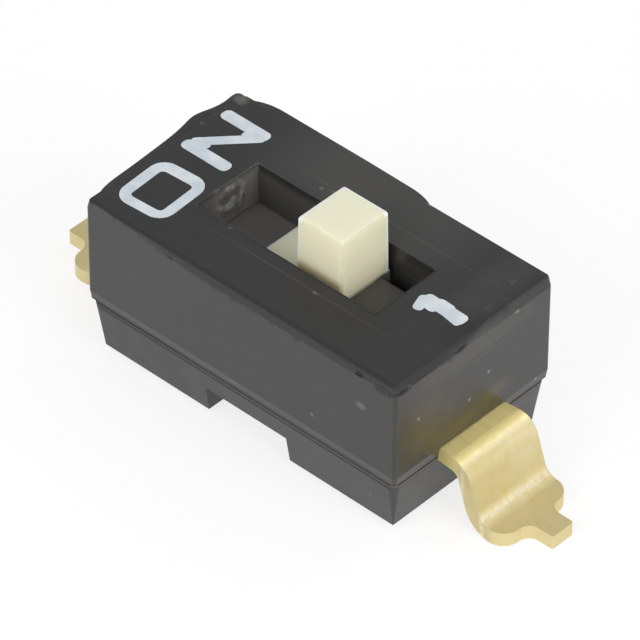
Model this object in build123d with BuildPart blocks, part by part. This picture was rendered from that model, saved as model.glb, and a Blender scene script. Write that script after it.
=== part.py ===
from build123d import *
import os
from math import radians, tan

# One-position slide DIP switch for surface mounting, with a raised actuator.
# Frame: +X runs from the ON end to the numbered end, +Z is up, and the origin is the middle of
# the footprint on the board. The actuator stands in its OFF position. Millimetres.

# ---- driving dimensions -------------------------------------------------------------------

# housing
body_length = 6.77
body_width = 3.69
board_gap = 0.12  # air between the board and the underside of the base
base_height = 1.0  # base, from its underside to the parting plane
lip_height = 0.2  # tapered lip of the cover, just above the parting plane
wall_height = 1.95  # upright part of the cover's walls
draft_angle = 9.0  # of the base's sides and of the lip
edge_radius = 0.07  # upright corners and top edges
end_bevel_drop = 0.2  # long, shallow bevel along the two end edges of the top
end_bevel_run = 0.06
parting_groove = 0.025  # round the housing where cover and base meet
base_corner_radius = 0.16

# relief across the underside of the base
relief_length = 1.78
relief_depth = 0.52
relief_draft = 1.0
relief_offset = 0.05  # it lies a little nearer the numbered end

# cover: slot for the actuator and the chamber under it
slot_length = 3.9
slot_width = 1.44
slot_offset = -0.05  # the slot lies a little nearer the ledge's side
slot_wall = 0.8  # thickness of the cover's top
slot_corner_radius = 0.05
ledge_drop = 0.44  # top of the stop ledge below the cover's top
ledge_width = 1.09
ledge_gap = 0.03  # actuator to stop ledge, switched off
chamber_length = 5.3
chamber_width = 2.14
chamber_radius = 0.1
chamber_clearance = 0.03

# actuator: knob, guide plate, ears and foot
travel = 1.11
knob_length = 0.98  # at its top
knob_width = 1.1
knob_height = 0.77  # above the cover
knob_draft = 0.7
knob_edge_radius = 0.06
plate_reach = 0.8  # guide plate past the knob, on the ON side
plate_clearance = 0.03  # under the plate
ear_height = 0.27
ear_reach = 0.3  # each ear past the slot's side, under the cover
ear_clearance = 0.03
foot_length = 0.5
foot_width = 0.84
foot_height = 0.45  # below the ears
foot_inset = 0.1  # behind the knob's face on the numbered side
cheek_height = 0.15  # the two cheeks that hold the moving contact
channel_clearance = 0.05  # ends and sides of the base's channel

# terminals: blade inside, gull-wing lead outside
strip_thickness = 0.27
strip_rise = 0.17  # top of the strip above the parting plane
strip_width = 1.54
blade_width = 1.04
blade_step = 2.3  # where the strip narrows, from the middle of the housing
blade_gap = 0.2  # plastic between the two blades
lead_width = 1.62
lead_shelf = 0.485  # housing to the first bend's corner
lead_lean = 0.33
shelf_bend_radius = 0.3
foot_bend_radius = 0.45
lead_clearance = 0.02
lead_reach = 1.95  # housing to the tip of the tab
shoulder_reach = 1.435  # housing to the end of the full-width foot
shoulder_radius = 0.33
tab_width = 0.49
neck_radius = 0.22
tab_corner_radius = 0.04
on_lead_spread = 0.12  # the ON lead is bent out a little further
on_lead_lift = 0.12  # and stands this much off the board

# moving contact, a bowed strip held under the actuator's foot
spring_thickness = 0.08
spring_width = 0.68
spring_span = 0.36  # between its two contact lines
spring_toe = 0.08  # turned-up end past each contact line
spring_crown = 0.16
spring_bend_radius = 0.05
spring_clearance = 0.02  # contact lines above the blades

# ---- places worked out from them ----------------------------------------------------------

parting = board_gap + base_height
shoulder = parting + lip_height
top = shoulder + wall_height
cover_underside = top - slot_wall
deck = cover_underside - chamber_clearance
strip_top = parting + strip_rise
lip_inset = lip_height * tan(radians(draft_angle))

plate_top = top - ledge_drop
plate_bottom = deck + plate_clearance
knob_total = knob_height + ledge_drop
knob_spread = 2 * knob_total * tan(radians(knob_draft))
knob_base_length = knob_length + knob_spread
knob_base_width = knob_width + knob_spread
knob_center = travel / 2
knob_right = knob_center + knob_base_length / 2
plate_left = knob_center - knob_base_length / 2 - plate_reach
plate_width = knob_base_width

ear_top = cover_underside - ear_clearance
ear_bottom = ear_top - ear_height
foot_center = knob_right - foot_inset - foot_length / 2
foot_bottom = ear_bottom - foot_height
cheek_width = (foot_width - spring_width) / 2

channel_floor = ear_bottom - ear_clearance
channel_left = foot_center - foot_length / 2 - travel - channel_clearance
channel_right = foot_center + foot_length / 2 + channel_clearance
channel_middle = (channel_left + channel_right) / 2
channel_length = channel_right - channel_left
blade_gap_center = foot_center - travel

CORNER = (Align.MIN, Align.CENTER)
EPS = 1e-3

# ---- terminals: one blanked and bent strip, used at both ends ------------------------------


def make_terminal(blade_end, spread, lift):
    """Blade from x = blade_end outwards, then a gull-wing lead down to the board on +X."""
    wall = body_length / 2
    bend_x = wall + lead_shelf
    shoulder_x = wall + shoulder_reach + spread
    tip_x = wall + lead_reach + spread
    strip_middle = strip_top - strip_thickness / 2
    foot_middle = lift + strip_thickness / 2
    with BuildPart() as strip:
        # side view
        with BuildSketch(Plane.XZ):
            with BuildLine():
                FilletPolyline(
                    (blade_end, strip_middle),
                    (bend_x, strip_middle),
                    (bend_x + lead_lean + spread, foot_middle),
                    (tip_x, foot_middle),
                    radius=(shelf_bend_radius, foot_bend_radius),
                )
            trace(line_width=strip_thickness)
        extrude(amount=lead_width, both=True)
        # the blanked outline, seen from above
        with BuildSketch() as blank:
            with BuildLine():
                Polyline(
                    (blade_end, 0),
                    (blade_end, blade_width / 2),
                    (blade_step, blade_width / 2),
                    (blade_step, strip_width / 2),
                    (wall, strip_width / 2),
                    (bend_x, lead_width / 2),
                    (shoulder_x, lead_width / 2),
                    (shoulder_x, tab_width / 2),
                    (tip_x, tab_width / 2),
                    (tip_x, 0),
                )
                mirror(about=Plane.XZ)
            make_face()
            at_shoulder = blank.vertices().filter_by_position(Axis.X, shoulder_x - EPS, shoulder_x + EPS)
            fillet(at_shoulder.sort_by(lambda v: abs(v.Y))[-2:], radius=shoulder_radius)
            at_shoulder = blank.vertices().filter_by_position(Axis.X, shoulder_x - EPS, shoulder_x + EPS)
            fillet(at_shoulder.sort_by(lambda v: abs(v.Y))[:2], radius=neck_radius)
            fillet(blank.vertices().group_by(Axis.X)[-1], radius=tab_corner_radius)
        extrude(amount=strip_top, mode=Mode.INTERSECT)
    return strip.part


with BuildPart() as number_terminal:
    add(make_terminal(blade_gap_center + blade_gap / 2, 0, 0))

with BuildPart() as on_terminal:
    blade = make_terminal(blade_gap / 2 - blade_gap_center, on_lead_spread, on_lead_lift)
    add(blade, rotation=(0, 0, 180))

# ---- cover --------------------------------------------------------------------------------

with BuildPart() as cover:
    # upright walls, with a bevel along the two end edges of the top
    with BuildSketch(Plane.XZ) as outline:
        with Locations((0, shoulder)):
            Rectangle(body_length, wall_height, align=(Align.CENTER, Align.MIN))
        for side in (-1, 1):
            with BuildLine():
                Polyline(
                    (side * (body_length / 2 - end_bevel_run), top),
                    (side * body_length / 2, top),
                    (side * body_length / 2, top - end_bevel_drop),
                    close=True,
                )
            make_face(mode=Mode.SUBTRACT)
        fillet(outline.vertices().group_by(Axis.Y)[-1], radius=edge_radius)
    extrude(amount=body_width / 2, both=True)
    long_sides = cover.faces().sort_by(Axis.Y)[0].edges() + cover.faces().sort_by(Axis.Y)[-1].edges()
    underside = cover.faces().sort_by(Axis.Z)[0].edges()
    fillet(long_sides - underside, radius=edge_radius)
    # tapered lip
    with BuildSketch(Plane.XY.offset(shoulder)):
        RectangleRounded(body_length, body_width, edge_radius)
    extrude(amount=lip_height, dir=(0, 0, -1), taper=draft_angle)
    chamfer(cover.faces().sort_by(Axis.Z)[0].edges(), length=parting_groove)
    # chamber and slot
    with BuildSketch(Plane.XY.offset(parting)):
        RectangleRounded(chamber_length, chamber_width, chamber_radius)
    extrude(amount=cover_underside - parting, mode=Mode.SUBTRACT)
    with BuildSketch(Plane.XY.offset(cover_underside)):
        with Locations((0, slot_offset)):
            RectangleRounded(slot_length, slot_width, slot_corner_radius)
    extrude(amount=slot_wall, mode=Mode.SUBTRACT)
    # stop ledge for the OFF position
    with BuildSketch(Plane.XY.offset(cover_underside)):
        with Locations((knob_right + ledge_gap, slot_offset - slot_width / 2)):
            Rectangle(slot_length / 2 - knob_right - ledge_gap, ledge_width, align=Align.MIN)
    extrude(amount=slot_wall - ledge_drop)
    # notches over the two leads
    with BuildSketch(Plane.XY.offset(parting)):
        Rectangle(2 * body_length, strip_width + 2 * lead_clearance)
    extrude(amount=strip_rise + lead_clearance, mode=Mode.SUBTRACT)

# ---- base, moulded round the terminals ----------------------------------------------------

with BuildPart() as base:
    # drafted block, with a rebate round its top
    with BuildSketch(Plane.XY.offset(parting)):
        RectangleRounded(body_length - 2 * lip_inset, body_width - 2 * lip_inset, base_corner_radius)
    extrude(amount=base_height, dir=(0, 0, -1), taper=draft_angle)
    with BuildSketch(Plane.XY.offset(parting)):
        Rectangle(body_length, body_width)
        Rectangle(
            body_length - 2 * lip_inset - 2 * parting_groove,
            body_width - 2 * lip_inset - 2 * parting_groove,
            mode=Mode.SUBTRACT,
        )
    extrude(amount=-parting_groove, mode=Mode.SUBTRACT)
    # relief across the underside
    with BuildSketch(Plane.XZ.offset(-body_width)):
        with Locations((relief_offset, board_gap)):
            Trapezoid(
                relief_length + 2 * relief_depth * tan(radians(relief_draft)),
                relief_depth,
                90 - relief_draft,
                align=(Align.CENTER, Align.MIN),
            )
    extrude(amount=2 * body_width, mode=Mode.SUBTRACT)
    # platform that fills the cover's chamber
    with BuildSketch(Plane.XY.offset(parting)):
        RectangleRounded(
            chamber_length - 2 * chamber_clearance,
            chamber_width - 2 * chamber_clearance,
            chamber_radius,
        )
    extrude(amount=deck - parting)
    # channel for the actuator's ears, and a deeper one for its foot and the moving contact
    with BuildSketch(Plane.XY.offset(channel_floor)):
        with Locations((channel_middle, 0)):
            Rectangle(channel_length, chamber_width)
    extrude(amount=deck - channel_floor, mode=Mode.SUBTRACT)
    with BuildSketch(Plane.XY.offset(strip_top)):
        with Locations((channel_middle, 0)):
            Rectangle(channel_length, foot_width + 2 * channel_clearance)
    extrude(amount=channel_floor - strip_top, mode=Mode.SUBTRACT)
    # the room that the terminals take
    add(on_terminal.part, mode=Mode.SUBTRACT)
    add(number_terminal.part, mode=Mode.SUBTRACT)

# ---- actuator -----------------------------------------------------------------------------

with BuildPart() as actuator:
    # knob
    with BuildSketch(Plane.XY.offset(plate_top)):
        with Locations((knob_center, 0)):
            Rectangle(knob_base_length, knob_base_width)
    extrude(amount=knob_total, taper=knob_draft)
    uprights = actuator.edges() - actuator.faces().sort_by(Axis.Z)[0].edges()
    fillet(uprights, radius=knob_edge_radius)
    # guide plate in the slot
    with BuildSketch(Plane.XY.offset(plate_bottom)):
        with Locations((plate_left, 0)):
            Rectangle(knob_right - plate_left, plate_width, align=CORNER)
    extrude(amount=plate_top - plate_bottom)
    # neck and ears, which keep it under the cover
    with BuildSketch(Plane.XY.offset(ear_bottom)):
        with Locations((foot_center, 0)):
            Rectangle(foot_length, plate_width)
    extrude(amount=plate_bottom - ear_bottom)
    with BuildSketch(Plane.XY.offset(ear_bottom)):
        with Locations((foot_center, 0)):
            Rectangle(foot_length, slot_width + 2 * ear_reach)
    extrude(amount=ear_height)
    # foot with a cheek on each side of the moving contact
    with BuildSketch(Plane.XY.offset(foot_bottom)):
        with Locations((foot_center, 0)):
            Rectangle(foot_length, foot_width)
    extrude(amount=foot_height)
    with BuildSketch(Plane.XY.offset(foot_bottom)):
        with Locations((foot_center, 0)):
            with GridLocations(0, foot_width - cheek_width, 1, 2):
                Rectangle(foot_length, cheek_width)
    extrude(amount=-cheek_height)

# ---- moving contact -----------------------------------------------------------------------

with BuildPart() as moving_contact:
    with BuildSketch(Plane.XZ):
        with BuildLine():
            low = strip_top + spring_clearance + spring_thickness / 2
            high = foot_bottom - spring_thickness / 2
            side = [
                (spring_crown / 2, high),
                (spring_span / 2, low),
                (spring_span / 2 + spring_toe, low + spring_toe),
            ]
            left = [(foot_center - x, z) for x, z in reversed(side)]
            right = [(foot_center + x, z) for x, z in side]
            FilletPolyline(*left, *right, radius=spring_bend_radius)
        trace(line_width=spring_thickness)
    extrude(amount=spring_width / 2, both=True)

# ---- one STEP file for each piece -----------------------------------------------------------

pieces = {
    "cover": cover,
    "base": base,
    "on_terminal": on_terminal,
    "number_terminal": number_terminal,
    "actuator": actuator,
    "moving_contact": moving_contact,
}
os.makedirs("parts", exist_ok=True)
for label, piece in pieces.items():
    piece.part.label = label
    export_step(piece.part, f"parts/{label}.step")
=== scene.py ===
# %% [markdown]
# # A slide DIP switch, dressed in Blender
#
# The switch is about ten millimetres long: a black moulded housing, an ivory knob that slides in
# a slot, and a gold-plated lead at each end. The solids arrive finished from the CAD model, so
# this lesson is about finishes, print, light and camera. The first cell loads the solids and
# keeps the extents of the cover, the base and the knob, which later cells measure from.

# %% Load the solids
import math

import bpy
from mathutils import Matrix, Vector


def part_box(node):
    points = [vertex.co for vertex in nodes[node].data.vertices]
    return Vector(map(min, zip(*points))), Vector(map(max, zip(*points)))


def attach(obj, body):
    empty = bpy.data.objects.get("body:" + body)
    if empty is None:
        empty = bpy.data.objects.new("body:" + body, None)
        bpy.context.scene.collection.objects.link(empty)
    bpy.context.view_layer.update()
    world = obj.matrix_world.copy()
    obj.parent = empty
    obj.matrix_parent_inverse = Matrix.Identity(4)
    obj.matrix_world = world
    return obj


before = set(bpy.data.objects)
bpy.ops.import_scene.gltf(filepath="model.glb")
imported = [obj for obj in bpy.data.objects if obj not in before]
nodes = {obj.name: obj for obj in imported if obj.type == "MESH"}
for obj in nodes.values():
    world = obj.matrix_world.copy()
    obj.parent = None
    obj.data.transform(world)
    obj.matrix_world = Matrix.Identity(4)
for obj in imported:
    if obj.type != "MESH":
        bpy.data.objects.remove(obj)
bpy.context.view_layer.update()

MM = 0.001  # Blender works in metres, and this switch is thought of in millimetres
cover_low, cover_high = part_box("cover")
base_low, base_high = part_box("base")
knob_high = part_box("actuator")[1]
print("pieces:", sorted(nodes))

# %% [markdown]
# ## Camera
#
# The camera looks down at 41 degrees from the corner between the numbered end and one long side. A
# wide lens close by would pull the little box out of shape, and an orthographic camera would lose
# the last trace of depth. So a very long lens stands about 96 millimetres off, which is far for a
# part of this size, and the edges stay almost parallel.

# %% Camera
CAMERA_DISTANCE = 95.97
CAMERA_AIM = (0.0997, -0.0394, 1.5762)


def view_axes(azimuth, elevation, roll):
    """Right, up and back directions of a camera that looks at the object from there."""
    az, el = math.radians(azimuth), math.radians(elevation)
    back = Vector((math.sin(az) * math.cos(el), -math.cos(az) * math.cos(el), math.sin(el)))
    right = Vector((math.cos(az), math.sin(az), 0))
    up = back.cross(right)
    turn = Matrix.Rotation(math.radians(roll), 3, back)
    return turn @ right, turn @ up, back


right, up, back = view_axes(azimuth=42.84, elevation=40.96, roll=0.225)
camera_data = bpy.data.cameras.new("camera")
camera_data.lens = 334.54
camera_data.sensor_width = 36
camera_data.clip_start = 0.001
camera = bpy.data.objects.new("camera", camera_data)
bpy.context.scene.collection.objects.link(camera)
stand = Matrix((right, up, back)).transposed().to_4x4()
stand.translation = Vector(CAMERA_AIM) * MM + back * CAMERA_DISTANCE * MM
camera.matrix_world = stand
bpy.context.scene.camera = camera
bpy.context.scene.view_settings.view_transform = "Standard"
print("camera at, mm:", [round(v / MM, 1) for v in camera.location])

# %% [markdown]
# ## Small tools for building shaders
#
# A shader is a small graph of nodes. It could be drawn by hand in the shader editor, but a script
# can be read and changed in one place. Written out node by node it gets long, so these helpers do
# the repeated part. An input can be a plain value or another node's output, and the first helper
# tells the two apart.


# %% Shader helpers: nodes
def fill(tree, node, inputs):
    """Set a node's inputs by name or number: plain values are stored, outputs are linked."""
    for key, value in inputs.items():
        if isinstance(value, bpy.types.NodeSocket):
            tree.links.new(value, node.inputs[key])
        else:
            node.inputs[key].default_value = value
    return node


def add(tree, kind, inputs=None, **settings):
    """Add one node, with its settings and inputs."""
    node = tree.nodes.new(kind)
    for name, value in settings.items():
        setattr(node, name, value)
    return fill(tree, node, inputs or {})


def calc(tree, operation, *values):
    """A Math node's result."""
    return add(tree, "ShaderNodeMath", dict(enumerate(values)), operation=operation).outputs[0]


def vector_calc(tree, operation, *values):
    """A Vector Math node's vector."""
    node = add(tree, "ShaderNodeVectorMath", dict(enumerate(values)), operation=operation)
    return node.outputs[0]


def ramp(tree, value, low, high, to_low=0.0, to_high=1.0):
    """Smoothly map the span low..high onto to_low..to_high."""
    node = add(tree, "ShaderNodeMapRange", {"Value": value}, interpolation_type="SMOOTHSTEP")
    fill(tree, node, {"From Min": low, "From Max": high, "To Min": to_low, "To Max": to_high})
    return node.outputs["Result"]


def noise(tree, point, scale, detail):
    """A noise texture's tone, about one half on average."""
    inputs = {"Vector": point, "Scale": scale, "Detail": detail}
    return add(tree, "ShaderNodeTexNoise", inputs).outputs["Fac"]


def uneven(tree, tone, amount):
    """A noise's tone as a push to either side of nothing."""
    return calc(tree, "MULTIPLY", calc(tree, "SUBTRACT", tone, 0.5), amount)


print("node helpers ready")

# %% [markdown]
# A pattern that several finishes share goes into a node group, which is built once and placed in
# each material with its own values. Patterns read Object coordinates. Those stay on a piece when
# it moves, so the marks travel with the slider. They are turned into millimetres first, so that
# every size below is a size on the real part.


# %% Shader helpers: groups
def new_group(name, inputs, outputs):
    """An empty node group. inputs are (name, kind, value) and outputs are names of floats."""
    tree = bpy.data.node_groups.new(name, "ShaderNodeTree")
    for label, kind, value in inputs:
        socket = tree.interface.new_socket(label, in_out="INPUT", socket_type=kind)
        socket.default_value = value
    for label in outputs:
        tree.interface.new_socket(label, in_out="OUTPUT", socket_type="NodeSocketFloat")
    return tree, tree.nodes.new("NodeGroupInput").outputs, tree.nodes.new("NodeGroupOutput")


def use(tree, group, inputs):
    """Place a node group in a tree, and return its outputs."""
    return fill(tree, add(tree, "ShaderNodeGroup", node_tree=group), inputs).outputs


def in_millimetres(tree):
    """The shaded point in the object's own coordinates, in millimetres."""
    where = add(tree, "ShaderNodeTexCoord").outputs["Object"]
    return vector_calc(tree, "MULTIPLY", where, (1000, 1000, 1000))


FLOAT, VECTOR = "NodeSocketFloat", "NodeSocketVector"
print("group helpers ready")

# %% [markdown]
# ## Moulded grain
#
# Moulded plastic is never perfectly even. It has a fine grain copied from the steel of the mould,
# and slow clouds of slightly different tone where the melt flowed. A picture of real plastic could
# give both, but it would show seams and only one scale. Two noises of very different sizes have
# neither fault, and they keep their detail however near the camera comes.

# %% Group: moulded grain
grain_group, given, out = new_group(
    "moulded_grain",
    [("Grain per mm", FLOAT, 30.0), ("Clouds per mm", FLOAT, 0.8)],
    ["Grain", "Clouds"],
)
point = in_millimetres(grain_group)
fine = noise(grain_group, point, given["Grain per mm"], detail=3.0)
slow = noise(grain_group, point, given["Clouds per mm"], detail=4.0)
fill(grain_group, out, {"Grain": fine, "Clouds": slow})
print("moulded_grain:", len(grain_group.nodes), "nodes")


def grain_at(tree, per_mm, clouds_per_mm):
    """The grain group's outputs at two sizes."""
    return use(tree, grain_group, {"Grain per mm": per_mm, "Clouds per mm": clouds_per_mm})


# %% [markdown]
# ## Rubbed and lit edges
#
# Edges are what a part is rubbed on, in its tube and in handling. Blender can find edges by the
# mesh's pointiness, but that depends on how the faces were cut and is lost in the export. On a box
# the distance to the nearest edge is simple: take the distances to the nearest plane along each of
# the three axes, and the second smallest of them is the distance to the edge. A noise makes the
# rubbed band ragged. On the knob the same bands carry a painted highlight and a painted shade.

# %% Group: rubbed and lit edges
edge_group, given, out = new_group(
    "rubbed_and_lit_edges",
    [
        ("Low", VECTOR, (0, 0, 0)),
        ("High", VECTOR, (1, 1, 1)),
        ("Width", FLOAT, 0.1),
        ("Ragged", FLOAT, 0.1),
    ],
    ["Rubbed and lit"],
)
point = in_millimetres(edge_group)
from_low = vector_calc(edge_group, "SUBTRACT", point, given["Low"])
from_high = vector_calc(edge_group, "SUBTRACT", given["High"], point)
nearest = vector_calc(edge_group, "MINIMUM", from_low, from_high)
nearest = vector_calc(edge_group, "ABSOLUTE", nearest)
to_x, to_y, to_z = add(edge_group, "ShaderNodeSeparateXYZ", {0: nearest}).outputs
smaller = calc(edge_group, "MINIMUM", to_x, to_y)
larger = calc(edge_group, "MAXIMUM", to_x, to_y)
to_edge = calc(edge_group, "MAXIMUM", smaller, calc(edge_group, "MINIMUM", larger, to_z))
rag = uneven(edge_group, noise(edge_group, point, 5.0, detail=5.0), given["Ragged"])
to_edge = calc(edge_group, "ADD", to_edge, rag)
fill(edge_group, out, {"Rubbed and lit": ramp(edge_group, to_edge, 0.0, given["Width"], 1.0, 0.0)})
print("rubbed_and_lit_edges:", len(edge_group.nodes), "nodes")


def rubbed_and_lit_at(tree, low, high, width, ragged):
    """The band along the edges of the box low..high, in mm: wear, painted highlight and shade."""
    inputs = {"Low": low, "High": high, "Width": width, "Ragged": ragged}
    return use(tree, edge_group, inputs)["Rubbed and lit"]


# %% [markdown]
# ## Marks in one place
#
# A chip, a scuff or a broken-off sprue sits in one place. It could be painted by hand, but then it
# would need a picture. This group gives a soft-edged patch round a centre instead, with its own
# half sizes along the three axes and a noise that eats into its rim.

# %% Group: patch
patch_group, given, out = new_group(
    "patch",
    [
        ("Centre", VECTOR, (0, 0, 0)),
        ("Half size", VECTOR, (1, 1, 1)),
        ("Ragged", FLOAT, 0.5),
        ("Rough per mm", FLOAT, 8.0),
        ("Softness", FLOAT, 0.3),
    ],
    ["Patch"],
)
point = in_millimetres(patch_group)
offset = vector_calc(patch_group, "SUBTRACT", point, given["Centre"])
offset = vector_calc(patch_group, "DIVIDE", offset, given["Half size"])
reach = add(patch_group, "ShaderNodeVectorMath", {0: offset}, operation="LENGTH").outputs["Value"]
rim = noise(patch_group, point, given["Rough per mm"], detail=4.0)
reach = calc(patch_group, "ADD", reach, uneven(patch_group, rim, given["Ragged"]))
inner = calc(patch_group, "SUBTRACT", 1.0, given["Softness"])
fill(patch_group, out, {"Patch": ramp(patch_group, reach, inner, 1.0, 1.0, 0.0)})
print("patch:", len(patch_group.nodes), "nodes")

# %% [markdown]
# ## Specks of dust
#
# A few pale specks lie on every face. They could be scattered as tiny pieces, which is a lot of
# mesh for something this thin. A Voronoi texture scatters one point in each cell for nothing. Only
# the point's close surroundings count, and a second random value keeps just some of the cells.

# %% Group: specks
speck_group, given, out = new_group(
    "specks",
    [("Cells per mm", FLOAT, 1.0), ("Radius", FLOAT, 0.05), ("Share", FLOAT, 0.3)],
    ["Speck"],
)
point = in_millimetres(speck_group)
inputs = {"Vector": point, "Scale": given["Cells per mm"]}
cells = add(speck_group, "ShaderNodeTexVoronoi", inputs).outputs
chance = add(speck_group, "ShaderNodeSeparateColor", {0: cells["Color"]}).outputs
kept = calc(speck_group, "LESS_THAN", chance[0], given["Share"])
radius = calc(speck_group, "MULTIPLY", given["Radius"], calc(speck_group, "ADD", 0.4, chance[1]))
core = calc(speck_group, "MULTIPLY", radius, 0.4)
near = ramp(speck_group, cells["Distance"], core, radius, 1.0, 0.0)
fill(speck_group, out, {"Speck": calc(speck_group, "MULTIPLY", near, kept)})
print("specks:", len(speck_group.nodes), "nodes")


def specks_at(tree, per_mm, radius, share):
    """Dust specks: how many cells to a millimetre, how large, and the share that is kept."""
    inputs = {"Cells per mm": per_mm, "Radius": radius, "Share": share}
    return use(tree, speck_group, inputs)["Speck"]


# %% [markdown]
# ## Painting with masks
#
# Every finish below is built up as a painter would do it: a ground tone first, then thin layers,
# each where a mask says. A mask is a value from 0 to 1 worked out from the place on the piece. The
# helpers lay a tone through a mask, raise a value through a mask, and join several masks.


# %% Material helpers
def new_material(name):
    """A material with one Principled shader, and its tree."""
    material = bpy.data.materials.new(name)
    material.use_nodes = True
    tree = material.node_tree
    return material, tree, tree.nodes["Principled BSDF"]


def times(tree, *values):
    """The product of several masks."""
    product = values[0]
    for value in values[1:]:
        product = calc(tree, "MULTIPLY", product, value)
    return product


def inverse(tree, mask):
    """Everywhere that the mask isn't."""
    return calc(tree, "SUBTRACT", 1.0, mask)


def blend(tree, amount, first, second):
    """A colour between first and second, each a tone or a socket."""
    first, second = ((*c, 1) if isinstance(c, tuple) else c for c in (first, second))
    node = add(tree, "ShaderNodeMix", data_type="RGBA")
    return fill(tree, node, {0: amount, 6: first, 7: second}).outputs[2]


def lay(tree, colour, mask, strength, tone):
    """Lay a tone over a colour through a mask."""
    return blend(tree, times(tree, mask, strength), colour, tone)


def lift(tree, value, mask, amount):
    """Raise a value through a mask."""
    return calc(tree, "ADD", value, times(tree, mask, amount))


def bump(tree, height, distance, normal=None):
    """A Bump node's normal. distance is in millimetres."""
    inputs = {"Distance": distance * MM, "Height": height}
    if normal is not None:
        inputs["Normal"] = normal
    return add(tree, "ShaderNodeBump", inputs).outputs["Normal"]


def along_axes(tree):
    """The shaded point's x, y and z in millimetres, as three values."""
    return add(tree, "ShaderNodeSeparateXYZ", {0: in_millimetres(tree)}).outputs


def size_of(tree, value):
    """A value without its sign, so that both ends or sides count the same."""
    return calc(tree, "ABSOLUTE", value)


def away(tree, value, centre):
    """How far a value is from a centre, on either side."""
    return size_of(tree, calc(tree, "SUBTRACT", value, centre))


def finish(tree, shader, colour, rough, normal):
    """Plug the finished colour, roughness and normal into the shader."""
    fill(tree, shader, {"Base Color": colour, "Roughness": rough, "Normal": normal})


print("material helpers ready")

# %% [markdown]
# ## Black moulded housing
#
# The cover and the base are the same black, glass-filled plastic: satin rather than matt, so its
# walls catch a soft picture of what stands beside them, such as the gold lead. A glossy coat over
# a matt ground would do that too, but real moulded plastic has no coat. One Principled shader with
# a roughness near a quarter comes closer. Tone and gloss drift with the clouds, edges are rubbed
# paler, dust lies about, and a shallow bump carries the grain.

# %% Black plastic
BLACK, WARMER_BLACK = (0.019, 0.019, 0.019), (0.029, 0.029, 0.028)
CLOUDED_BLACK = (0.040, 0.040, 0.036)
RUBBED_GREY = (0.11, 0.105, 0.095)
DUST_GREY = (0.30, 0.30, 0.28)


def black_plastic(name, low, high, rub_width, rub_tone, roughness):
    """The housing's black, with its edges rubbed inside the box low..high."""
    material, tree, shader = new_material(name)
    grain = grain_at(tree, 26.0, 0.9)
    coarse = grain_at(tree, 7.0, 2.6)
    rubbed_and_shaded = rubbed_and_lit_at(tree, low / MM, high / MM, rub_width, ragged=0.22)
    dust = specks_at(tree, 1.1, radius=0.07, share=0.35)
    colour = blend(tree, grain["Clouds"], BLACK, WARMER_BLACK)
    colour = lay(tree, colour, coarse["Clouds"], 0.35, CLOUDED_BLACK)
    colour = lay(tree, colour, rubbed_and_shaded, rub_tone, RUBBED_GREY)
    colour = lay(tree, colour, dust, 0.4, DUST_GREY)
    rough = ramp(tree, coarse["Clouds"], 0.3, 0.7, roughness - 0.04, roughness + 0.04)
    rough = lift(tree, rough, rubbed_and_shaded, 0.12)
    normal = bump(tree, grain["Grain"], 0.0022)
    normal = bump(tree, coarse["Grain"], 0.003, normal)
    return material, tree, shader, colour, rough, normal


print("black plastic ready")

# %% [markdown]
# ## Base
#
# The base is the lower half. Its platform shows through the slot and is paler, most towards the
# ON end: dust, and painted light that lifts the shade of the recess. The wall is painted a little
# darker on that side too, as painted shade. Just under the cover's rim the base has a narrow
# rebate. It could be left to the solids, whose joint is a fine gap, but a real joint also holds
# dirt and catches light. So the joint gets a dark dip of painted shade, a paler line in it of dirt
# and painted light, and a shallow bump.

# %% Material: base
SEAM = cover_low.z / MM
DECK_DUST_AND_LIGHT, SEAM_SHADE = (0.165, 0.163, 0.155), (0.003, 0.003, 0.003)
REBATE_DIRT_AND_LIGHT, ON_END_SHADE = (0.10, 0.098, 0.092), (0.010, 0.0095, 0.008)

base_material, tree, shader, colour, rough, normal = black_plastic(
    "base_black_plastic", base_low, base_high, rub_width=0.10, rub_tone=0.15, roughness=0.33
)
x, y, z = along_axes(tree)
# The deck is painted paler: dust, and painted light that lifts the shade of the recess.
on_deck = times(
    tree,
    ramp(tree, z, 2.30, 2.42),
    ramp(tree, size_of(tree, y), 0.9, 1.0, 1.0, 0.0),
    ramp(tree, x, -1.0, 1.2, 0.9, 0.2),
)
colour = blend(tree, on_deck, colour, DECK_DUST_AND_LIGHT)
off_seam = away(tree, z, SEAM)
along_side = ramp(tree, x, 3.2, 3.3, 1.0, 0.2)
# A soft dark line along the seam: painted shade.
painted_seam_shade = times(tree, ramp(tree, off_seam, 0.0, 0.13, 1.0, 0.0), along_side)
# A paler line in the rebate: dirt, and painted light that eases the groove's shade.
rebate = ramp(tree, off_seam, 0.05, 0.07, 1.0, 0.0)
colour = lay(tree, colour, painted_seam_shade, 0.8, SEAM_SHADE)
colour = lay(tree, colour, rebate, 0.9, REBATE_DIRT_AND_LIGHT)
normal = bump(tree, times(tree, painted_seam_shade, -1.0), 0.05, normal)
# Towards the ON end the wall is painted darker: painted shade.
left_part = times(
    tree, ramp(tree, x, -2.6, 0.6, 1.0, 0.0), ramp(tree, z, SEAM + 0.03, SEAM + 0.13, 1.0, 0.0)
)
colour = lay(tree, colour, left_part, 0.25, ON_END_SHADE)
rough = lift(tree, rough, left_part, 0.05)
finish(tree, shader, colour, rough, normal)
nodes["base"].material_slots[0].material = base_material
print("base:", len(tree.nodes), "nodes, seam at", round(SEAM, 2), "mm")

# %% [markdown]
# ## Cover
#
# The cover is the upper half, and it has zones with a look of their own: a matt top whose darker
# tone runs over the edges as painted shade, a slot that is dusty and painted lighter, and a seam of
# painted shade and painted highlight. Each zone could be a material of its own on its own faces,
# but then its border would follow the mesh as a hard line. As a mask over one material it may fade
# and wander. The first cell starts the material and marks out the slot, because the matt top must
# leave it alone.

# %% Material: cover
SLOT_HALF_LENGTH, SLOT_HALF_WIDTH, SLOT_MIDDLE = 1.96, 0.73, -0.05
SLOT_FAR_WALL = 0.67

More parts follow.
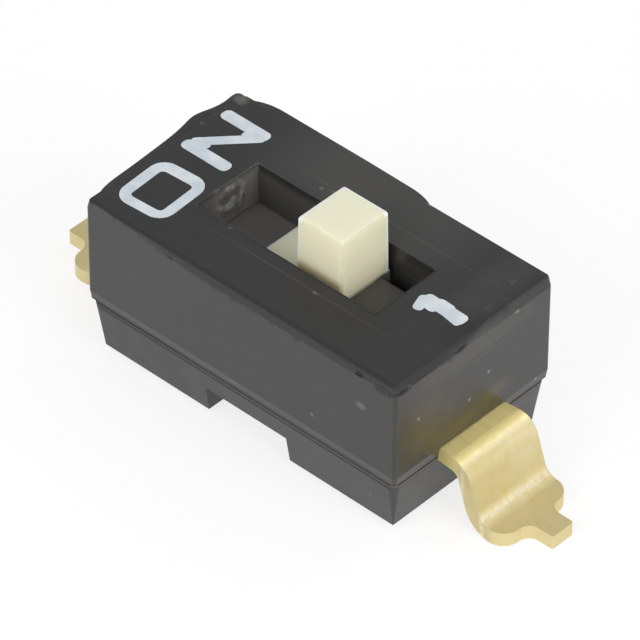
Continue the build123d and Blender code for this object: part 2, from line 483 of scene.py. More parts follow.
cover_material, tree, shader, colour, rough, normal = black_plastic(
    "cover_black_plastic", cover_low, cover_high, rub_width=0.12, rub_tone=0.05, roughness=0.22
)
TOP = cover_high.z / MM
x, y, z = along_axes(tree)
from_middle = size_of(tree, x)
below_top = calc(tree, "SUBTRACT", TOP, z)
across_slot = away(tree, y, SLOT_MIDDLE)
in_slot = times(
    tree,
    ramp(tree, from_middle, SLOT_HALF_LENGTH, SLOT_HALF_LENGTH + 0.03, 1.0, 0.0),
    ramp(tree, across_slot, SLOT_HALF_WIDTH, SLOT_HALF_WIDTH + 0.03, 1.0, 0.0),
)
print("cover: top at", round(TOP, 2), "mm")

# %% [markdown]
# The top is matt, and its darker tone runs a little way over the edges as painted shade of their
# rounding, further along the long edge towards the numbered end. A straight border would look
# printed, so two noises make it wander and fray. A bump as deep as the run-over rounds the edge
# there. The middle of the top is a little paler towards the far side.

# %% Cover: matt top
MATT_AND_SHADE_BLACK, FAR_MIDDLE_GREY = (0.014, 0.014, 0.015), (0.054, 0.053, 0.051)

drift = grain_at(tree, 9.0, 2.2)
wander = calc(tree, "SUBTRACT", lift(tree, drift["Clouds"], drift["Grain"], 0.35), 0.67)
fray = grain_at(tree, 15.0, 6.0)
wander = calc(tree, "ADD", wander, uneven(tree, fray["Clouds"], 1.2))
at_end = ramp(tree, y, -0.7, 0.5, 0.85, 0.10)
# Over the edges the top's darker tone is painted shade of their rounding.
run_over = times(
    tree,
    ramp(tree, x, -3.2, -0.8, 0.04, 0.23),
    ramp(tree, x, 2.4, 3.3, 1.0, at_end),
    inverse(tree, in_slot),
)
border = calc(tree, "SUBTRACT", below_top, lift(tree, run_over, wander, 0.26))
matt_top_and_edge_shade = ramp(tree, border, -0.03, 0.05, 1.0, 0.0)
far_middle = times(
    tree, ramp(tree, y, -0.4, 1.5), ramp(tree, from_middle, 0.8, 2.8, 1.0, 0.0)
)
matt_and_shade_colour = blend(tree, far_middle, MATT_AND_SHADE_BLACK, FAR_MIDDLE_GREY)
colour = blend(tree, matt_top_and_edge_shade, colour, blend(tree, 0.35, matt_and_shade_colour, colour))
rough = lift(tree, rough, matt_top_and_edge_shade, 0.30)
rounding = calc(tree, "MAXIMUM", calc(tree, "SUBTRACT", run_over, below_top), 0.0)
normal = bump(tree, times(tree, rounding, -0.8), 1.0, normal)
print("zone: matt top")

# %% [markdown]
# Inside the slot the plastic is greyer. At the ON end, which the knob never sweeps, the paler tone
# is dust and painted light that lifts the shade of the recess. There is dust on the far wall too,
# and a line of it on the stop ledge. Real dust could be strewn as particles, but from any distance
# it is only a paler tone, so it is laid through masks.

# %% Cover: dust in the slot
SLOT_DUST_AND_LIGHT, WALL_DUST = (0.20, 0.198, 0.188), (0.070, 0.069, 0.064)
LEDGE_DUST = (0.060, 0.059, 0.048)

# At the ON end the slot is painted paler: dust, and painted light in the recess.
at_on_end = times(
    tree,
    ramp(tree, below_top, 0.0, 0.14, 0.4, 1.0),
    ramp(tree, x, -1.94, -1.90, 1.0, 0.0),
    in_slot,
    ramp(tree, y, -0.80, 0.10, 0.35, 1.0),
)
far_wall = times(
    tree,
    ramp(tree, below_top, 0.06, 0.20),
    ramp(tree, away(tree, y, SLOT_FAR_WALL), 0.03, 0.05, 1.0, 0.0),
    ramp(tree, from_middle, SLOT_HALF_LENGTH - 0.03, SLOT_HALF_LENGTH, 1.0, 0.0),
    ramp(tree, x, -1.0, 1.3, 1.0, 0.4),
)
on_ledge = times(
    tree,
    ramp(tree, below_top, 0.41, 0.43),
    ramp(tree, below_top, 0.45, 0.47, 1.0, 0.0),
    ramp(tree, x, 1.02, 1.06),
    in_slot,
)
colour = lay(tree, colour, at_on_end, 0.85, SLOT_DUST_AND_LIGHT)
colour = lay(tree, colour, far_wall, 0.8, WALL_DUST)
colour = lay(tree, colour, on_ledge, 0.5, LEDGE_DUST)
print("zone: slot")

# %% [markdown]
# The seam is where cover and base meet. On the cover's side it is drawn in tone and gloss alone: a
# soft dark line of painted shade, a faint paler one above it that is a painted highlight, and a
# paler fill in the narrow groove, dirt and painted light that eases its shade. A bump here caught
# the light and looked like a raised lip, so the seam is duller instead, and the dip stays on the
# base.

# %% Cover: seam
COVER_SEAM_SHADE, HIGHLIGHT_LINE_GREY = (0.004, 0.004, 0.004), (0.09, 0.088, 0.08)
GROOVE_DIRT_AND_LIGHT = (0.07, 0.069, 0.065)

above_seam = calc(tree, "SUBTRACT", z, SEAM)
off_seam = size_of(tree, above_seam)
along_side = ramp(tree, from_middle, 3.30, 3.38, 1.0, 0.25)
# A soft dark line along the seam: painted shade.
painted_seam_shade = times(tree, ramp(tree, off_seam, 0.0, 0.11, 1.0, 0.0), along_side)
off_line = away(tree, above_seam, 0.17)
# A faint paler line above the seam: a painted highlight.
painted_highlight_line = times(tree, ramp(tree, off_line, 0.0, 0.06, 1.0, 0.0), along_side)
# A paler fill in the groove: dirt, and painted light that eases its shade.
groove = ramp(tree, off_seam, 0.006, 0.012, 1.0, 0.0)
colour = lay(tree, colour, painted_seam_shade, 0.7, COVER_SEAM_SHADE)
colour = lay(tree, colour, painted_highlight_line, 0.08, HIGHLIGHT_LINE_GREY)
colour = lay(tree, colour, groove, 0.9, GROOVE_DIRT_AND_LIGHT)
rough = lift(tree, rough, painted_seam_shade, 0.35)
print("zone: seam")

# %% [markdown]
# ## The cover's own marks
#
# The cover shows how it was made and used. Two faint pale lines run along the top, one far corner
# is scuffed pale, small pale marks lie about, and small nicks on the edges are painted darker as
# painted shade. Each mark is one row of a table, because a row is easier to move than a painted
# spot: a centre, half sizes, how ragged and how rough its rim is, and how soft.


# %% Cover: marks on the top and the long side
def patches(marks):
    """One mask from several patches: (centre, half sizes, ragged, rough per mm, softness)."""
    mask = None
    for centre, half, ragged, per_mm, softness in marks:
        inputs = {"Centre": centre, "Half size": half, "Ragged": ragged}
        inputs.update({"Rough per mm": per_mm, "Softness": softness})
        here = use(tree, patch_group, inputs)["Patch"]
        mask = here if mask is None else calc(tree, "MAXIMUM", mask, here)
    return mask


SIDE = cover_low.y / MM
END = cover_high.x / MM
pale_marks = patches([
    ((-3.30, 1.70, TOP), (0.22, 0.20, 0.2), 0.9, 6.0, 0.7),
    ((0.78, 1.80, TOP), (0.12, 0.05, 0.1), 0.9, 9.0, 0.8),
    ((-0.76, 0.91, TOP), (0.065, 0.045, 0.1), 0.9, 11.0, 0.8),
    ((-0.40, 0.98, TOP), (0.30, 0.05, 0.1), 0.9, 9.0, 0.7),
    ((-1.15, -0.80, TOP), (0.055, 0.045, 0.1), 0.9, 11.0, 0.8),
    ((-1.93, -0.28, TOP), (0.10, 0.09, 0.12), 1.2, 9.0, 0.6),
    ((0.92, -1.05, TOP), (0.065, 0.040, 0.1), 0.9, 11.0, 0.8),
    ((-3.33, 0.80, TOP), (0.05, 0.05, 0.06), 0.9, 11.0, 0.8),
    ((1.60, SIDE, 1.63), (0.06, 0.1, 0.05), 0.5, 9.0, 0.6),
    ((2.65, SIDE, 2.45), (0.16, 0.1, 0.10), 0.9, 8.0, 0.8),
    ((-0.10, SIDE, 1.26), (0.16, 0.1, 0.02), 0.6, 8.0, 0.6),
])
faint_pale_lines = patches([
    ((0.5, 1.05, TOP), (2.9, 0.035, 0.1), 0.6, 3.0, 0.7),
    ((0.6, -1.03, TOP), (2.8, 0.030, 0.1), 0.6, 3.0, 0.7),
])
# Nicks on the edges: chips, with their dark tone as painted shade.
shaded_nicks = patches([
    ((2.60, SIDE, 3.10), (0.10, 0.10, 0.09), 0.6, 8.0, 0.7),
    ((3.16, SIDE, 3.06), (0.28, 0.10, 0.11), 0.9, 8.0, 0.7),
    ((-1.47, SIDE, 3.09), (0.10, 0.10, 0.025), 0.5, 8.0, 0.6),
    ((END, -1.66, 3.08), (0.2, 0.20, 0.07), 1.2, 9.0, 0.8),
    ((END, -0.32, 3.10), (0.2, 0.22, 0.05), 1.2, 9.0, 0.8),
])
print("marks: pale marks, witness lines, nicks")

# %% [markdown]
# The end wall over the lead is scraped and speckled, and a brown tint spreads over it near the
# lead, a painted reflection of the gold. At the slot's ON end a rough scar is left where the sprue
# was broken off. Its torn plastic is paler in spots, so a coarse grain gives it both tone and
# height.

# %% Cover: marks on the end wall and in the slot
end_scrapes = patches([
    ((END, 0.10, 2.92), (0.2, 1.70, 0.30), 0.9, 3.0, 0.8),
    ((END, 0.20, 2.64), (0.2, 1.30, 0.022), 0.8, 4.0, 0.7),
])
end_specks = patches([
    ((END, 0.35, 2.20), (0.2, 0.045, 0.045), 0.4, 9.0, 0.5),
    ((END, -0.10, 1.90), (0.2, 0.04, 0.04), 0.4, 9.0, 0.5),
    ((END, -1.30, 2.27), (0.2, 0.04, 0.05), 0.4, 9.0, 0.5),
    ((END, 1.50, 1.30), (0.2, 0.05, 0.04), 0.4, 9.0, 0.5),
    ((END, 1.00, 3.05), (0.2, 0.06, 0.04), 0.4, 9.0, 0.5),
])
# A brown tint on the end wall: a painted reflection of the gold lead.
gold_reflection = patches([
    ((END, -0.35, 1.50), (0.2, 1.40, 0.38), 0.5, 2.0, 1.0),
    ((END, 0.52, 1.70), (0.2, 0.55, 0.26), 0.3, 2.0, 1.0),
])
faint_gold_reflection = patches([((END, -1.15, 2.05), (0.2, 0.85, 0.85), 0.8, 3.0, 0.9)])
scar = patches([((-1.95, 0.05, TOP - 0.38), (0.14, 0.42, 0.40), 0.8, 6.0, 0.5)])
tear = grain_at(tree, 11.0, 4.5)
torn = lift(tree, tear["Clouds"], tear["Grain"], 0.4)
print("marks: scrapes, specks, flux, scar")

# %% [markdown]
# The marks are now laid over the zones, from the faintest to the darkest. The order matters, as it
# does with paint: a nick's painted shade covers the painted reflection and scuffs alike, so it
# comes last. Scraped and torn plastic is duller than the wall, and the scar and the nicks get a
# bump of their own.

# %% Cover: marks laid on
FAINT_LINE_GREY, SCUFF_GREY, SCRAPE_GREY = (0.10, 0.10, 0.095), (0.22, 0.22, 0.20), (0.13, 0.13, 0.12)
FAINT_GOLD_REFLECTION_BROWN, GOLD_REFLECTION_BROWN = (0.085, 0.068, 0.030), (0.090, 0.074, 0.030)
SPECK_GREY, NICK_SHADE = (0.34, 0.33, 0.30), (0.004, 0.004, 0.004)
TORN_DARK, TORN_PALE = (0.07, 0.07, 0.066), (0.36, 0.36, 0.34)

# The brown layers here are a painted reflection of the gold lead.
for mask, strength, tone in (
    (faint_pale_lines, 0.22, FAINT_LINE_GREY),
    (pale_marks, 0.40, SCUFF_GREY),
    (end_scrapes, 0.30, SCRAPE_GREY),
    (faint_gold_reflection, 0.50, FAINT_GOLD_REFLECTION_BROWN),
    (gold_reflection, 0.62, GOLD_REFLECTION_BROWN),
    (end_specks, 0.42, SPECK_GREY),
):
    colour = lay(tree, colour, mask, strength, tone)
torn_colour = blend(tree, ramp(tree, torn, 0.55, 0.85), TORN_DARK, TORN_PALE)
colour = lay(tree, colour, scar, 0.7, torn_colour)
# The nicks' dark tone: painted shade in the chips.
colour = lay(tree, colour, shaded_nicks, 0.9, NICK_SHADE)
worn = calc(tree, "MAXIMUM", calc(tree, "MAXIMUM", scar, shaded_nicks), end_scrapes)
rough = lift(tree, rough, worn, 0.22)
normal = bump(tree, times(tree, torn, scar), 0.05, normal)
normal = bump(tree, times(tree, shaded_nicks, -1.0), 0.03, normal)
finish(tree, shader, colour, rough, normal)
nodes["cover"].material_slots[0].material = cover_material
print("cover:", len(tree.nodes), "nodes")

# %% [markdown]
# ## Ivory knob
#
# The actuator is a pale, slightly translucent plastic. A flat pale colour would look like chalk, so
# a little subsurface scattering lets light into it, over a few tenths of a millimetre. The knob is
# browner and darker low down than at its top. Its top face is painted paler and whiter, a painted
# light, and the guide plate under it is painted greener and darker, a painted shade in the slot.

# %% Material: actuator
PLATE_TOP = 2.83
KNOB_LOW = Vector((0.05, -0.565, PLATE_TOP))
KNOB_HIGH = Vector((1.06, 0.565, knob_high.z / MM))
IVORY, PALE_IVORY, LIT_TOP_IVORY = (0.83, 0.795, 0.57), (0.86, 0.835, 0.62), (0.82, 0.815, 0.645)
LOW_DOWN_BROWN, SHADED_PLATE_IVORY = (0.74, 0.55, 0.26), (0.71, 0.72, 0.56)

ivory_material, tree, shader = new_material("actuator_ivory_plastic")
grain = grain_at(tree, 22.0, 1.6)
x, y, z = along_axes(tree)
low_down = times(
    tree,
    ramp(tree, z, TOP - 0.14, TOP + 0.09, 1.0, 0.0),
    ramp(tree, z, PLATE_TOP + 0.03, PLATE_TOP + 0.12),
    ramp(tree, x, 0.85, 1.03, 1.0, 0.4),
    ramp(tree, grain["Clouds"], 0.2, 0.8, 0.6, 1.0),
)
# The top face painted paler and whiter: painted light.
lit_top_face = ramp(tree, z, KNOB_HIGH.z - 0.05, KNOB_HIGH.z - 0.01)
# The guide plate painted greener and darker: painted shade in the slot.
on_plate = ramp(tree, z, PLATE_TOP + 0.003, PLATE_TOP + 0.008, 1.0, 0.0)
colour = blend(tree, grain["Clouds"], IVORY, PALE_IVORY)
colour = lay(tree, colour, lit_top_face, 0.8, LIT_TOP_IVORY)
colour = lay(tree, colour, low_down, 0.42, LOW_DOWN_BROWN)
colour = blend(tree, on_plate, colour, SHADED_PLATE_IVORY)
print("ivory: ground and grease")

# %% [markdown]
# The two far rims are painted almost white, a painted highlight, and the near edges are painted
# darker, a painted shade that offsets the light their rounding catches. One group gives both
# bands, at two widths. In the gap beside the stop ledge the plate's end is painted dark, a painted
# shadow.

# %% Actuator: edges and gap
NEAR_EDGE_SHADE, RIM_HIGHLIGHT_WHITE, GAP_SHADOW_TONE = (0.56, 0.52, 0.34), (1.0, 1.0, 0.97), (0.05, 0.04, 0.03)

far_edges = calc(
    tree, "MAXIMUM", ramp(tree, x, 0.10, 0.20, 1.0, 0.0), ramp(tree, y, 0.42, 0.50)
)
rubbed_and_shaded = rubbed_and_lit_at(tree, KNOB_LOW, KNOB_HIGH, width=0.07, ragged=0.03)
# The near edges painted darker: painted shade that offsets the light on their rounding.
shaded_near_edges = times(tree, rubbed_and_shaded, inverse(tree, far_edges))
# The far rims painted almost white: a painted highlight.
rim_highlight = rubbed_and_lit_at(tree, KNOB_LOW, KNOB_HIGH, width=0.13, ragged=0.04)
# The plate's end in the gap painted dark: a painted shadow.
painted_gap_shadow = times(
    tree,
    ramp(tree, z, PLATE_TOP - 0.03, PLATE_TOP + 0.03, 1.0, 0.0),
    ramp(tree, x, 1.00, 1.05),
    ramp(tree, y, 0.15, 0.32, 0.15, 1.0),
)
colour = lay(tree, colour, shaded_near_edges, 0.85, NEAR_EDGE_SHADE)
colour = lay(tree, colour, rim_highlight, far_edges, RIM_HIGHLIGHT_WHITE)
colour = lay(tree, colour, painted_gap_shadow, 0.9, GAP_SHADOW_TONE)
rough = ramp(tree, grain["Clouds"], 0.2, 0.8, 0.48, 0.58)
rough = lift(tree, rough, shaded_near_edges, 0.25)
finish(tree, shader, colour, rough, bump(tree, grain["Grain"], 0.0015))
shader.inputs["Subsurface Weight"].default_value = 0.55
shader.inputs["Subsurface Radius"].default_value = (1.0, 0.75, 0.4)
shader.inputs["Subsurface Scale"].default_value = 0.45 * MM
nodes["actuator"].material_slots[0].material = ivory_material
print("actuator:", len(tree.nodes), "nodes")

# %% [markdown]
# ## Gold plating
#
# The leads are copper alloy strip with a thin flash of gold. Rolling leaves faint streaks along
# the strip, and plating leaves clouds of paler and browner gold. Anisotropic gloss could suggest
# the streaks, but it needs a direction on every face. A noise stretched along X, the strip's
# length, is simpler and shows the streaks themselves. Two materials share it, so it is a group.

# %% Group: rolled strip
strip_group, given, out = new_group(
    "rolled_strip",
    [("Streaks per mm", FLOAT, 12.0), ("Clouds per mm", FLOAT, 1.4)],
    ["Streaks", "Clouds"],
)
point = in_millimetres(strip_group)
inputs = {"Vector": point, "Scale": (0.06, 1.0, 0.06)}
stretched = add(strip_group, "ShaderNodeMapping", inputs).outputs[0]
streaks = noise(strip_group, stretched, given["Streaks per mm"], detail=4.0)
clouds = noise(strip_group, point, given["Clouds per mm"], detail=5.0)
fill(strip_group, out, {"Streaks": streaks, "Clouds": clouds})
print("rolled_strip:", len(strip_group.nodes), "nodes")

# %% [markdown]
# Thin gold over bright metal could be a pure metal shader, but a pure metal mirrors the white room
# and loses its own tint. A metallic value of 0.60 keeps both tint and sheen. The spring under the
# slider gets this finish as it is.

# %% Material: gold plate
TARNISH, METAL_DUST = (0.62, 0.43, 0.16), (0.25, 0.20, 0.12)


def gold_plate(name, pale, deep, roughness):
    """Satin gold plate between two tints."""
    material, tree, shader = new_material(name)
    strip = use(tree, strip_group, {"Streaks per mm": 11.0, "Clouds per mm": 1.3})
    grain = grain_at(tree, 16.0, 4.0)
    dust = specks_at(tree, 1.6, radius=0.05, share=0.2)
    colour = blend(tree, ramp(tree, strip["Clouds"], 0.3, 0.7), deep, pale)
    tarnish = ramp(tree, grain["Clouds"], 0.50, 0.72, 0.0, 0.45)
    colour = blend(tree, tarnish, colour, TARNISH)
    colour = lay(tree, colour, dust, 0.5, METAL_DUST)
    rough = ramp(tree, strip["Streaks"], 0.3, 0.7, roughness - 0.05, roughness + 0.07)
    normal = bump(tree, strip["Streaks"], 0.004)
    normal = bump(tree, grain["Grain"], 0.003, normal)
    finish(tree, shader, colour, rough, normal)
    shader.inputs["Metallic"].default_value = 0.60
    return material, tree, shader, colour, rough


contact_gold = gold_plate(
    "contact_gold_plate", pale=(0.86, 0.70, 0.36), deep=(0.74, 0.55, 0.22), roughness=0.30
)[0]
nodes["moving_contact"].material_slots[0].material = contact_gold
print("gold on: moving_contact")

# %% [markdown]
# The leads were bent after plating. A pale line runs along the crest near the housing, and
# another, broken up by fine scratches, along the valley before the foot: painted highlights on
# bands that are also a little shinier. The plate close to the housing is painted brighter than the
# slope, and the foot paler, as painted light. Distance from the middle of the switch places all of
# this on both leads at once.

# %% Material: leads
CREST_AT, VALLEY_AT = 3.86, 4.32
HOUSING_LIGHT_GOLD, FOOT_LIGHT_GOLD, HIGHLIGHT_GOLD = (0.96, 0.82, 0.36), (0.78, 0.67, 0.35), (0.98, 0.93, 0.74)

lead_gold, tree, shader, colour, rough = gold_plate(
    "lead_gold_plate", pale=(0.665, 0.58, 0.34), deep=(0.61, 0.52, 0.26), roughness=0.50
)
x, y, z = along_axes(tree)
outward = size_of(tree, x)
# Near the housing the gold is painted brighter: painted light.
housing_light = ramp(tree, outward, 3.70, 4.00, 1.0, 0.0)
# The foot is painted paler: painted light.
on_foot = ramp(tree, outward, 4.40, 4.60)
scratch = grain_at(tree, 13.0, 10.0)
crest = ramp(tree, away(tree, outward, CREST_AT), 0.02, 0.09, 1.0, 0.0)
valley = times(
    tree,
    ramp(tree, away(tree, outward, VALLEY_AT), 0.0, 0.08, 1.0, 0.0),
    ramp(tree, scratch["Clouds"], 0.35, 0.60, 0.3, 1.0),
    ramp(tree, z, 0.5, 0.6, 1.0, 0.0),
)
# Along crest and valley: painted highlights, on bands made a little shinier.
highlight_and_shine = calc(tree, "MAXIMUM", times(tree, crest, 0.55), valley)
colour = blend(tree, housing_light, colour, HOUSING_LIGHT_GOLD)
colour = lay(tree, colour, on_foot, 0.6, FOOT_LIGHT_GOLD)
colour = lay(tree, colour, highlight_and_shine, 0.5, HIGHLIGHT_GOLD)
rough = calc(tree, "SUBTRACT", rough, times(tree, highlight_and_shine, 0.12))
fill(tree, shader, {"Base Color": colour, "Roughness": rough})
for name in ("on_terminal", "number_terminal"):
    nodes[name].material_slots[0].material = lead_gold
print("gold on: on_terminal, number_terminal")

# %% [markdown]
# ## Printed ON and 1
#
# The marks are pad-printed in white ink, a few thousandths of a millimetre thick, with round
# stroke ends and soft corners. A text object would give a printer's typeface, which is not what
# this stubby lettering looks like, so they are modelled as flat strokes. A plane is stretched to
# the stroke's length, its corners are bevelled round, and it is turned and moved to its place.


# %% Print: tools for a stroke
INK_THICKNESS = 0.006


def deselect_all():
    """Leave object mode tidy: nothing selected, nothing active."""
    bpy.ops.object.select_all(action="DESELECT")
    bpy.context.view_layer.objects.active = None


def start_plane(name, length, width, corner):
    """A flat plate round the origin, length along X, corners rounded. Leaves edit mode open."""
    deselect_all()
    bpy.ops.mesh.primitive_plane_add(size=1, location=(0, 0, 0))
    plate = bpy.context.object
    plate.name = name
    bpy.ops.object.mode_set(mode="EDIT")
    bpy.ops.transform.resize(value=(length * MM, width * MM, 1))
    bpy.ops.mesh.bevel(offset=corner * MM, segments=7, affect="VERTICES")
    bpy.ops.mesh.select_all(action="SELECT")
    return plate


def settle(plate, x, y, turn=0.0):
    """Turn the open plate about its middle, move it to x, y on the top, and thicken it."""
    if turn:
        bpy.ops.transform.rotate(value=-turn, orient_axis="Z", center_override=(0, 0, 0))
    bpy.ops.transform.translate(value=(x * MM, y * MM, cover_high.z))
    bpy.ops.object.mode_set(mode="OBJECT")
    thicken = plate.modifiers.new("ink", "SOLIDIFY")
    thicken.thickness = INK_THICKNESS * MM
    thicken.offset = 1
    bpy.ops.object.modifier_apply(modifier="ink")
    return plate


def stroke(name, start, end, width, roundness=0.42):
    """One round-ended stroke from start to end, in millimetres on the cover's top."""
    run = Vector(end) - Vector(start)
    plate = start_plane(name, run.length + width, width, width * roundness)
    middle = (Vector(start) + Vector(end)) / 2
    return settle(plate, middle.x, middle.y, math.atan2(run.y, run.x))


print("stroke tools ready")

# %% [markdown]
# The strokes of one letter are joined by a union, so that nothing lies twice in one plane, which
# would flicker. Ink pools where two strokes meet at a sharp angle, so the N gets a small web in
# each inner corner. The 1 is printed badly: it is a stubby shank with a broken flag.


# %% Print: the N and the 1
def unite(first, *others):
    """Merge strokes into one letter."""
    for other in others:
        deselect_all()
        bpy.context.view_layer.objects.active = first
        first.select_set(True)
        union = first.modifiers.new("union", "BOOLEAN")
        union.operation = "UNION"
        union.solver = "EXACT"
        union.object = other
        bpy.ops.object.modifier_apply(modifier="union")
        bpy.data.objects.remove(other)
    return first


letter_n = unite(
    stroke("print_n", (-3.135, 1.236), (-2.365, 1.232), 0.248),
    stroke("n_diagonal", (-3.050, 0.400), (-2.360, 1.140), 0.200),
    stroke("n_stem", (-3.085, 0.249), (-2.305, 0.247), 0.245),
    stroke("n_web_far", (-2.590, 1.062), (-2.500, 1.062), 0.124),
    stroke("n_web_near", (-2.955, 0.428), (-2.862, 0.428), 0.124),
)
numeral = unite(
    stroke("print_1", (2.366, 0.062), (2.998, 0.050), 0.258, roundness=0.37),
    stroke("one_shank", (2.560, 0.085), (2.700, 0.080), 0.270),
    stroke("one_foot", (2.780, 0.050), (2.985, 0.015), 0.255, roundness=0.25),
    stroke("one_web", (2.360, 0.005), (2.495, -0.010), 0.255),
    stroke("one_flag", (2.275, 0.015), (2.335, -0.165), 0.185),
)
print("strokes:", len(letter_n.data.polygons), "and", len(numeral.data.polygons), "faces")

# %% [markdown]
# The O is a ring of even strokes with rounded corners. Four strokes and a union would do it, but a
# ring is one shape, and it is simpler to cut it from one: a rounded plate is inset, and the inner
# face is nudged to its place and deleted.

# %% Print: the round letter
RING_STROKE = 0.225

letter_o = start_plane("print_o", 1.07, 1.25, 0.30)
bpy.ops.mesh.inset(thickness=RING_STROKE * MM)
bpy.ops.transform.resize(value=(1.08, 1.02, 1))
bpy.ops.transform.translate(value=(0.008 * MM, -0.02 * MM, 0))
bpy.ops.mesh.delete(type="FACE")
bpy.ops.mesh.select_all(action="SELECT")
settle(letter_o, -2.603, -0.878, turn=math.radians(3.3))
print("round letter:", len(letter_o.data.polygons), "faces")

# %% [markdown]
# White ink is never solid. It is a touch blue, thinner in spots so that the black shows through,
# and the grain of the plastic below still reads in it. Real see-through ink would need a second
# surface under it to shine through, so the thin spots are simply a greyer tone.

# %% Material: white ink
INK_BLUE_GREY, INK_WHITE, THIN_INK = (0.555, 0.625, 0.68), (0.70, 0.755, 0.79), (0.40, 0.45, 0.50)

ink_material, tree, shader = new_material("white_ink")
grain = grain_at(tree, 24.0, 3.0)
colour = blend(tree, ramp(tree, grain["Clouds"], 0.3, 0.7), INK_BLUE_GREY, INK_WHITE)
colour = blend(tree, ramp(tree, grain["Grain"], 0.60, 0.78, 0.0, 0.5), colour, THIN_INK)
fill(tree, shader, {"Base Color": colour, "Normal": bump(tree, grain["Grain"], 0.004)})
shader.inputs["Roughness"].default_value = 0.55
for piece in (letter_n, letter_o, numeral):
    piece.data.materials.clear()
    piece.data.materials.append(ink_material)
    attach(piece, "housing")
print("ink on:", letter_n.name, letter_o.name, numeral.name)

# %% [markdown]
# ## Flash along the top edge
#
# Where the mould's halves did not close tightly, a thin lip of plastic squeezed out along the top's
# ON edge and most of the far long edge. A displacement of the cover itself would change the solid,
# so the lip is a piece of its own: a narrow grid laid along the edge. Its outer row is pulled out,
# one corner point at a time, by an uneven amount, a subdivision smooths the outline, and a thin
# wall under it closes the form. It takes the cover's own black.


# %% Flash: the tool
FLASH_ROOT = 0.16  # how wide the grid is that lies on the top
FLASH_SINK = 0.004  # how far it is let in, so that it starts without a step
FLASH_DROOP = 0.02  # how far its outer row hangs
FLASH_WALL = 0.07


def lay_grid(name, axis, start, end, root, outward, count):
    """A grid one cell wide, from start to end along an axis. Leaves edit mode open."""
    deselect_all()
    cuts = [1, 1]
    cuts[axis] = count - 1
    bpy.ops.mesh.primitive_grid_add(
        size=1, location=(0, 0, 0), x_subdivisions=cuts[0], y_subdivisions=cuts[1]
    )
    lip = bpy.context.object
    lip.name = name
    size = [1, 1, 1]
    size[axis] = (end - start) * MM
    size[1 - axis] = FLASH_ROOT * MM
    move = [0, 0, cover_high.z - FLASH_SINK * MM]
    move[axis] = (start + end) / 2 * MM
    move[1 - axis] = (root - outward * FLASH_ROOT / 2) * MM
    bpy.ops.object.mode_set(mode="EDIT")
    bpy.ops.transform.resize(value=size)
    bpy.ops.transform.translate(value=move)
    return lip


def flash(name, axis, start, end, root, outward, reaches):
    """A thin ragged lip along an edge. reaches is how far out each point of it goes."""
    lip = lay_grid(name, axis, start, end, root, outward, len(reaches))
    step = (end - start) / (len(reaches) - 1)
    for number, reach in enumerate(reaches):
        bpy.ops.mesh.select_all(action="DESELECT")
        bpy.ops.object.mode_set(mode="OBJECT")
        for vertex in lip.data.vertices:
            on_row = abs(vertex.co[axis] / MM - (start + number * step)) < step / 4
            outside = outward * (vertex.co[1 - axis] / MM - root) > -FLASH_ROOT / 2
            vertex.select = on_row and outside
        bpy.ops.object.mode_set(mode="EDIT")
        pull = [0, 0, -FLASH_DROOP * MM]
        pull[1 - axis] = outward * reach * MM
        bpy.ops.transform.translate(value=pull)
    bpy.ops.object.mode_set(mode="OBJECT")
    smooth = lip.modifiers.new("smooth", "SUBSURF")
    smooth.levels = smooth.render_levels = 2
    bpy.ops.object.modifier_apply(modifier="smooth")
    thicken = lip.modifiers.new("wall", "SOLIDIFY")
    thicken.thickness = FLASH_WALL * MM
    thicken.offset = -1
    bpy.ops.object.modifier_apply(modifier="wall")
    lip.data.materials.append(cover_material)
    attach(lip, "housing")
    return lip


print("flash tool ready")

# %% [markdown]
# The two lips differ. The ON edge's lip is ragged and juts out at its far end, where the mould is
# most worn. The far edge's lip is long and even. Their reaches could be drawn at random, but a list
# gives the same outline each time and can be set point by point.

# %% Flash
flash_on = flash(
    "flash_on_edge", axis=1, start=-1.60, end=1.82, root=cover_low.x / MM, outward=-1,
    reaches=[-0.05, 0.005, 0.018, 0.03, 0.05, 0.069, 0.093, 0.137, 0.225, 0.102, 0.06, 0.14],
)
flash_far = flash(
    "flash_far_edge", axis=0, start=-3.20, end=0.85, root=cover_high.y / MM, outward=1,
    reaches=[
        -0.04, 0.10, 0.112, 0.107, 0.108, 0.108, 0.108, 0.108, 0.106, 0.10, 0.095, 0.09, -0.04
    ],
)
print("flash:", len(flash_on.data.polygons), "and", len(flash_far.data.polygons), "faces")

# %% [markdown]
# ## Floor
#
# The switch stands by its feet on a plain white sheet. To make it read white, the lamps could be
# turned up, but that would bleach the switch too. So the sheet is an ordinary matt white for the
# light that bounces on to the switch, and seen by the camera, or mirrored in plastic and metal,
# part of its brightness is its own glow. The soft shadow stays on it.

# %% Floor
FLOOR_SIZE = 4  # metres
SHEET_WHITE, SHADED_PART = (0.80, 0.80, 0.80, 1), (0.24, 0.24, 0.24, 1)
GLOW = 0.78
WHITE = (1, 1, 1, 1)

deselect_all()
bpy.ops.mesh.primitive_plane_add(size=FLOOR_SIZE, location=(0, 0, 0))
floor = bpy.context.object
floor.name = "floor"
floor_material = bpy.data.materials.new("white_sheet")
floor_material.use_nodes = True
tree = floor_material.node_tree
tree.nodes.clear()
path = add(tree, "ShaderNodeLightPath").outputs
seen = calc(tree, "MAXIMUM", path["Is Camera Ray"], path["Is Glossy Ray"])
seen = calc(tree, "MAXIMUM", seen, path["Is Transmission Ray"])
matt = add(tree, "ShaderNodeBsdfDiffuse", {"Color": SHEET_WHITE}).outputs[0]
part_matt = add(tree, "ShaderNodeBsdfDiffuse", {"Color": SHADED_PART}).outputs[0]
glow = add(tree, "ShaderNodeEmission", {"Color": WHITE, "Strength": GLOW}).outputs[0]
shown = add(tree, "ShaderNodeAddShader", {0: part_matt, 1: glow}).outputs[0]
mixed = add(tree, "ShaderNodeMixShader", {0: seen, 1: matt, 2: shown}).outputs[0]
add(tree, "ShaderNodeOutputMaterial", {"Surface": mixed})
floor.data.materials.append(floor_material)
print("floor at z =", floor.location.z)

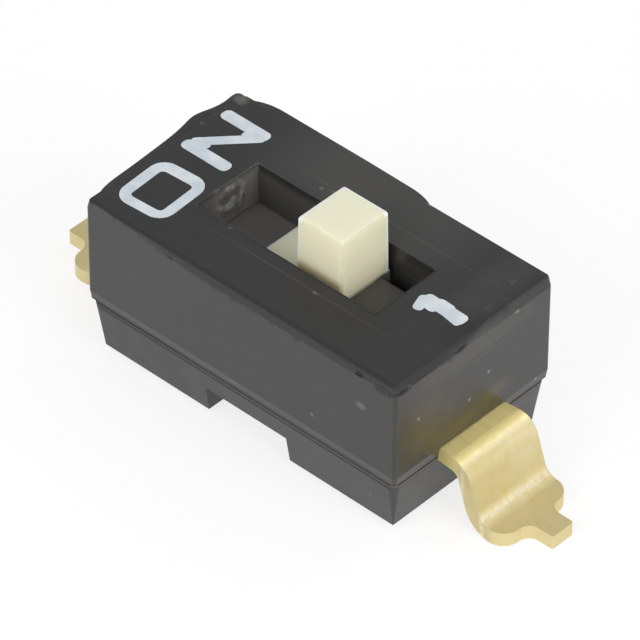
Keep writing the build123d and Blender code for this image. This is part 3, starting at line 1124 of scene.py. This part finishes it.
# %% [markdown]
# ## Room
#
# The room round the switch is white. An even white room would make a black part as pale on top as
# on its walls. This one is darker overhead than at the sides wherever it is mirrored, which keeps
# the top darker than the walls, while the camera still sees plain white behind the switch.

# %% World
OVERHEAD_SHARE = 0.45  # how bright the mirrored room is straight above
ROOM_LIGHT = 0.44  # how strongly the room lights the switch

world = bpy.data.worlds.new("room")
bpy.context.scene.world = world
world.use_nodes = True
tree = world.node_tree
tree.nodes.clear()
path = add(tree, "ShaderNodeLightPath").outputs
mirrored = calc(tree, "MAXIMUM", path["Is Glossy Ray"], path["Is Transmission Ray"])
direction = add(tree, "ShaderNodeTexCoord").outputs["Generated"]
upwards = add(tree, "ShaderNodeSeparateXYZ", {0: direction}).outputs[2]
overhead = ramp(tree, upwards, 0.15, 0.75, 1.0, OVERHEAD_SHARE)
strength = calc(tree, "ADD", times(tree, mirrored, overhead), path["Is Camera Ray"])
lit = inverse(tree, calc(tree, "MAXIMUM", mirrored, path["Is Camera Ray"]))
strength = lift(tree, strength, lit, ROOM_LIGHT)
sky = add(tree, "ShaderNodeBackground", {"Color": WHITE, "Strength": strength}).outputs[0]
add(tree, "ShaderNodeOutputWorld", {"Surface": sky})
print("room:", len(tree.nodes), "nodes")

# %% [markdown]
# ## Lamps
#
# A small lamp would give hard shadows and a pinpoint glint. These are square soft boxes, large
# beside the switch. One on the numbered end's side is the key, one as strong faces the long side,
# and a weak one lifts the back.


# %% Lamps
def soft_box(name, azimuth, elevation, distance, size, watts):
    """A square lamp that faces the switch from there."""
    r, u, b = view_axes(azimuth, elevation, 0)
    data = bpy.data.lights.new(name, "AREA")
    data.shape = "SQUARE"
    data.size = size * MM
    data.energy = watts
    lamp = bpy.data.objects.new(name, data)
    bpy.context.scene.collection.objects.link(lamp)
    lamp.matrix_world = Matrix((r, u, b)).transposed().to_4x4()
    lamp.location = b * distance * MM
    return lamp


soft_box("key_box", azimuth=88, elevation=30, distance=150, size=90, watts=0.112)
soft_box("fill_box", azimuth=-2, elevation=30, distance=150, size=90, watts=0.110)
soft_box("back_box", azimuth=165, elevation=50, distance=150, size=60, watts=0.025)
